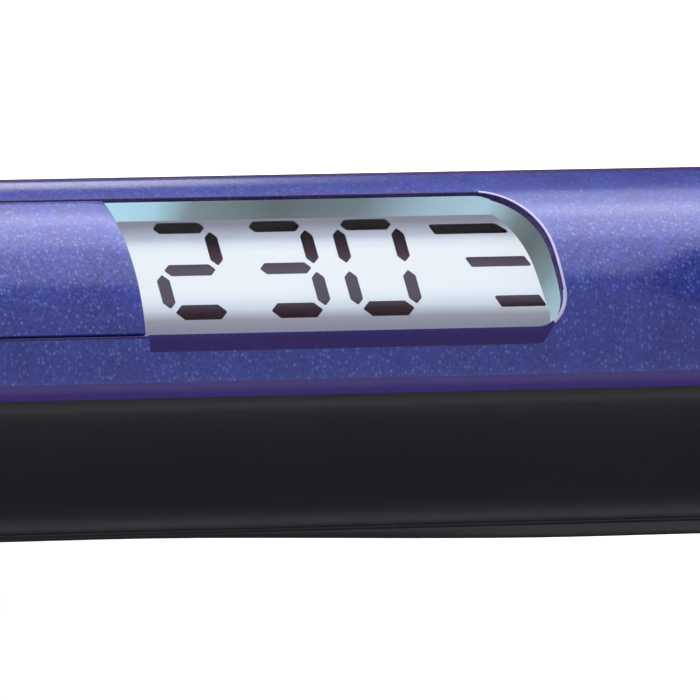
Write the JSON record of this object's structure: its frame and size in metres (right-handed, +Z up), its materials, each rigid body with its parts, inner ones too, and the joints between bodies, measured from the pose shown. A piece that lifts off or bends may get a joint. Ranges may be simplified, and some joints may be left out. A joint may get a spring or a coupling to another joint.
{
  "type": "curling iron",
  "caption": "Hair curling iron with round grip, curved temperature display, spring clamp with thumb lever, folding rest stand and swivelling cord inlet.",
  "frame": {"origin": "on the table, under the middle of the iron's overall length and width, as it rests on its stand", "axes": "+X from the cord end to the cool tip, +Y to the iron's left side seen from the cord end, +Z up; the iron's own axis rises 7 degrees towards the tip"},
  "size_m": [0.3288, 0.0316, 0.0649],
  "materials": {
    "black_plastic": "satin, fine moulded grain",
    "purple_paint": "metallic flake lacquer",
    "purple_trim": "smooth dark violet gloss",
    "clear_lens": "clear gloss moulding",
    "display_wall": "pale gloss moulding",
    "display_white": "white display face",
    "display_ink": "dark display segments",
    "circuit_green": "coated circuit board",
    "component": "moulded component bodies",
    "wire_red": "silicone insulation",
    "wire_white": "silicone insulation",
    "wire_blue": "silicone insulation",
    "fuse_case": "plain metal case",
    "contact_metal": "bare sprung contact metal",
    "screw_steel": "zinc plated",
    "heat_plastic": "heat-resistant moulding",
    "trim_chrome": "polished ring",
    "barrel_coat": "smooth ceramic-type coating",
    "clamp_steel": "brushed along its length",
    "element": "plain ceramic",
    "spreader": "extruded",
    "spring_steel": "spring wire",
    "purple_ring": "gloss lacquer",
    "pad_rubber": "soft silicone",
    "key_plastic": "satin keycap",
    "key_mark": "printed mark"
  },
  "bodies": {
    "handle": {"upper_housing": "black_plastic", "lower_housing": "black_plastic", "top_cover": "purple_paint", "control_panel": "purple_paint", "display_bezel": "purple_trim", "display_lens": "clear_lens", "display_frame": "display_wall", "display_panel": "display_white", "display_segments": "display_ink", "display_module": "display_wall", "circuit_board": "circuit_green", "board_parts": "component", "tact_switches": "component", "heater_leads": "wire_red", "sensor_leads": "wire_white", "mains_leads": "wire_blue", "thermal_fuse": "fuse_case", "housing_screws": "screw_steel", "contact_brushes": "contact_metal", "barrel_socket": "heat_plastic", "trim_ring": "trim_chrome", "front_collar": "black_plastic", "barrel_tube": "barrel_coat", "heater_element": "element", "heat_spreader_upper": "spreader", "heat_spreader_lower": "spreader", "thermistor": "component", "tip_sleeve": "heat_plastic", "tip_ring": "purple_ring", "cool_tip": "black_plastic", "tip_screw": "screw_steel", "hinge_bracket": "clamp_steel", "bracket_screws": "screw_steel", "hinge_pin": "screw_steel", "torsion_spring": "spring_steel", "stand_pins": "screw_steel"},
    "clamp": {"clamp_plate": "clamp_steel", "clamp_arm": "clamp_steel", "clamp_rivets": "screw_steel", "thumb_lever": "black_plastic", "lever_pad": "purple_paint", "lever_screws": "screw_steel"},
    "stand": {"stand_frame": "clamp_steel", "stand_feet": "pad_rubber"},
    "cord_swivel": {"swivel_rotor": "black_plastic", "slip_rings": "contact_metal"},
    "power_key": {"power_button": "key_plastic", "power_mark": "key_mark"},
    "plus_key": {"plus_button": "key_plastic", "plus_mark": "key_mark"},
    "minus_key": {"minus_button": "key_plastic", "minus_mark": "key_mark"}
  },
  "joints": [
    {"name": "clamp_hinge", "type": "hinge", "parent": "handle", "child": "clamp", "pos_m": [0.02142, 0, 0.05387], "axis": [0, -1, 0], "range_deg": [0, 18], "stiffness_Nm_per_rad": 0.35, "springref_deg": -34.38, "deforming": ["torsion_spring"]},
    {"name": "stand_fold", "type": "hinge", "parent": "handle", "child": "stand", "pos_m": [0.03395, 0, 0.02569], "axis": [0, -1, 0], "range_deg": [0, 90]},
    {"name": "cord_turn", "type": "hinge", "parent": "handle", "child": "cord_swivel", "pos_m": [-0.15386, 0, 0.01271], "axis": [-0.9925, 0, -0.1219], "continuous": true},
    {"name": "power_press", "type": "slide", "parent": "handle", "child": "power_key", "axis": [0.1219, 0, -0.9925], "range_m": [0, 0.0007], "stiffness_N_per_m": 400, "springref_m": -0.0006},
    {"name": "plus_press", "type": "slide", "parent": "handle", "child": "plus_key", "axis": [0.1219, 0, -0.9925], "range_m": [0, 0.0007], "stiffness_N_per_m": 400, "springref_m": -0.0006},
    {"name": "minus_press", "type": "slide", "parent": "handle", "child": "minus_key", "axis": [0.1219, 0, -0.9925], "range_m": [0, 0.0007], "stiffness_N_per_m": 400, "springref_m": -0.0006}
  ]
}
